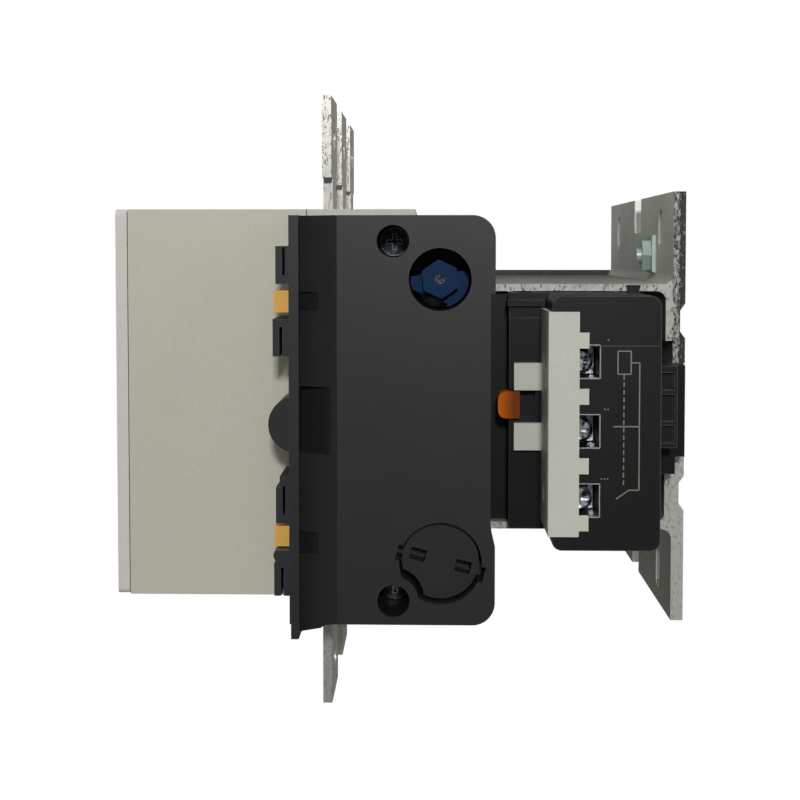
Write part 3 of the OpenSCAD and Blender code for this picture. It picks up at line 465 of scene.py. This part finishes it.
EDGE_RADIUS_MM = {
    "frame_steel": 0.25, "zinc_plate": 0.3, "spring_steel": 0, "dark_plastic": 0.35, "black_plastic": 0.35,
    "cream_plastic": 0.45, "pale_plastic": 0.45, "light_plastic": 0.25, "screw_steel": 0.15,
    "silver_plate": 0.7,
    "magnet_steel": 0.2, "copper": 0.25, "contact_brass": 0.1, "brown_plastic": 0.4, "blue_plastic": 0.25,
    "orange_plastic": 0.35, "yellow_plastic": 0.3,
}


def round_edges(obj, radius_mm):
    """Joins flat triangles back into faces and rounds the sharp edges."""
    flat = obj.modifiers.new("flat_faces", "DECIMATE")
    flat.decimate_type = "DISSOLVE"
    flat.angle_limit = math.radians(0.5)
    bevel = obj.modifiers.new("round_edges", "BEVEL")
    bevel.width = radius_mm * MM
    bevel.segments = 2
    bevel.limit_method = "ANGLE"
    bevel.angle_limit = math.radians(40)
    bevel.harden_normals = True
    bevel.use_clamp_overlap = True


SLOT_OF = {part["node"]: part["material_slot"] for part in frame["record"]["subparts"]}
for name, obj in nodes.items():
    obj.data.materials.clear()
    obj.data.materials.append(MATERIALS[SLOT_OF[name]])
    if EDGE_RADIUS_MM[SLOT_OF[name]] > 0:
        round_edges(obj, EDGE_RADIUS_MM[SLOT_OF[name]])

# ---------- fine pieces ----------


def mesh_piece(name, verts, faces, slot, body, finish=None):
    """Makes a mesh in millimetres of the row frame that rides on a body."""
    mesh = bpy.data.meshes.new(name)
    mesh.from_pydata([Vector(v) * MM for v in verts], [], faces)
    mesh.update()
    obj = bpy.data.objects.new(name, mesh)
    bpy.context.scene.collection.objects.link(obj)
    mesh.materials.append(MATERIALS[finish or slot])
    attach(obj, body)
    return obj


def box_faces(first):
    """Six faces of the box whose eight corners start at that index."""
    sides = [(0, 2, 3, 1), (4, 5, 7, 6), (0, 1, 5, 4), (2, 6, 7, 3), (0, 4, 6, 2), (1, 3, 7, 5)]
    return [tuple(first + i for i in side) for side in sides]


def printed_lines(name, lines, width, x0, x1, finish):
    """Thin raised print on a face that looks along +X: each line runs from one (y, z) to another."""
    verts, faces = [], []
    for (ya, za), (yb, zb) in lines:
        long = math.hypot(yb - ya, zb - za)
        ny, nz = -(zb - za) / long * width / 2, (yb - ya) / long * width / 2
        faces += box_faces(len(verts))
        for x in (x0, x1):
            for y, z in ((ya, za), (yb, zb)):
                verts += [(x, y - ny, z - nz), (x, y + ny, z + nz)]
    return mesh_piece(name, verts, faces, "light_plastic", "frame", finish)


def frame_lines(y0, z0, y1, z1):
    corners = [(y0, z0), (y1, z0), (y1, z1), (y0, z1)]
    return [(corners[i], corners[(i + 1) % 4]) for i in range(4)]


def path_lines(*points):
    return list(zip(points, points[1:]))


# Generic circuit symbol on the coil label: a coil, its lead, a dashed link and a contact
LABEL_X = 98.68
COIL_Y, COIL_Z = (-25.8, -22.0), (13.6, 20.3)
LEAD_Y, LEAD_TOP_Z, LEAD_BOTTOM_Z = -19.5, 16.9, -20.3
CONTACT_ROOT_Y, CONTACT_TIP = -22.4, (-26.1, -22.9)
LINK_Y, LINK_TOP_Z = -24, 13.4
DASHES, DASH_PITCH, DASH_LENGTH = 15, 2.2, 1.35
BAR_Y, BAR_Z = -27.1, -1.7
BORDER_Y, BORDER_Z = (-32.8, -13.5), 21.8

diagram = frame_lines(COIL_Y[0], COIL_Z[0], COIL_Y[1], COIL_Z[1])
diagram += path_lines((COIL_Y[1], LEAD_TOP_Z), (LEAD_Y, LEAD_TOP_Z), (LEAD_Y, LEAD_BOTTOM_Z),
                      (CONTACT_ROOT_Y, LEAD_BOTTOM_Z), CONTACT_TIP)
diagram += path_lines((BAR_Y, BAR_Z), (LEAD_Y, BAR_Z))
for dash in range(DASHES):
    top = LINK_TOP_Z - DASH_PITCH * dash
    diagram += path_lines((LINK_Y, top), (LINK_Y, top - DASH_LENGTH))
printed_lines("label_diagram", diagram, 0.35, LABEL_X, LABEL_X + 0.05, "print_ink")
printed_lines("label_border", path_lines((BORDER_Y[0], BORDER_Z), (BORDER_Y[1], BORDER_Z)), 0.3,
              LABEL_X, LABEL_X + 0.05, "border_ink")

COIL_TERMINAL_Z = (17.2, -3.1, -23.4)
DOT_Y, DOT_PITCH, DOT_SIZE, DOT_ABOVE = -28.8, 0.9, 0.4, 6.4
marks = []
for count, z in enumerate(COIL_TERMINAL_Z, 1):
    for i in range(count):
        start = DOT_Y - DOT_PITCH * i
        marks += path_lines((start, z + DOT_ABOVE), (start + DOT_SIZE, z + DOT_ABOVE))
printed_lines("terminal_dots", marks, DOT_SIZE, LABEL_X, LABEL_X + 0.05, "print_ink")

RIM_FRONT_Y, RIM_REAR_Y, RIM_HALF_Z = -38.6, -30.9, 4.9
rims = []
for z in COIL_TERMINAL_Z:
    top, bottom = z + RIM_HALF_Z, z - RIM_HALF_Z
    rims += path_lines((RIM_FRONT_Y, top), (RIM_REAR_Y, top), (RIM_REAR_Y, bottom), (RIM_FRONT_Y, bottom))
printed_lines("window_rims", rims, 0.3, LABEL_X, LABEL_X + 0.04, "rim_grey")


def wire_coil(name, y0, y1, at, radius, wire, turns, body):
    """Coil spring along Y with flattened end turns: a round wire swept along a helix."""
    ring, around = 8, 24
    steps = turns * around
    verts, faces = [], []
    low, high = y0 + wire / 2, y1 - wire / 2
    for i in range(steps + 1):
        share = min(1.0, max(0.0, (i - around) / (steps - 2 * around)))
        angle = 2 * math.pi * i / around
        out = Vector((math.cos(angle), 0, math.sin(angle)))
        centre = Vector((at[0], low + (high - low) * share, at[1])) + out * radius
        for j in range(ring):
            turn = 2 * math.pi * j / ring
            offset = out * math.cos(turn) + Vector((0, 1, 0)) * math.sin(turn)
            verts.append(tuple(centre + offset * wire / 2))
    for i in range(steps):
        for j in range(ring):
            k = (j + 1) % ring
            faces.append((i * ring + j, i * ring + k, (i + 1) * ring + k, (i + 1) * ring + j))
    faces.append(tuple(range(ring)))
    faces.append(tuple(steps * ring + j for j in reversed(range(ring))))
    spring = mesh_piece(name, verts, faces, "spring_steel", body)
    for face in spring.data.polygons:
        face.use_smooth = True
    return spring


POLE_X = (-48, 0, 48)
CONTACT_R, CONTACT_WIRE, CONTACT_TURNS = 4.6, 1.5, 5
CONTACT_Y = (-144.0, -129.1)
RETURN_X = 52.5
RETURN_R, RETURN_WIRE, RETURN_TURNS = 3.4, 1.1, 8
RETURN_Y = (-74.5, -50.4)
for number, x in enumerate(POLE_X, 1):
    spring = wire_coil("contact_coil_%d" % number, *CONTACT_Y, (x, 0), CONTACT_R, CONTACT_WIRE,
                       CONTACT_TURNS, "carrier")
    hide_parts("contact_spring_%d" % number)
    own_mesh(spring)
for side, x in (("right", RETURN_X), ("left", -RETURN_X)):
    spring = wire_coil("return_coil_" + side, *RETURN_Y, (x, 0), RETURN_R, RETURN_WIRE,
                       RETURN_TURNS, "frame")
    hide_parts("return_springs")
    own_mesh(spring)
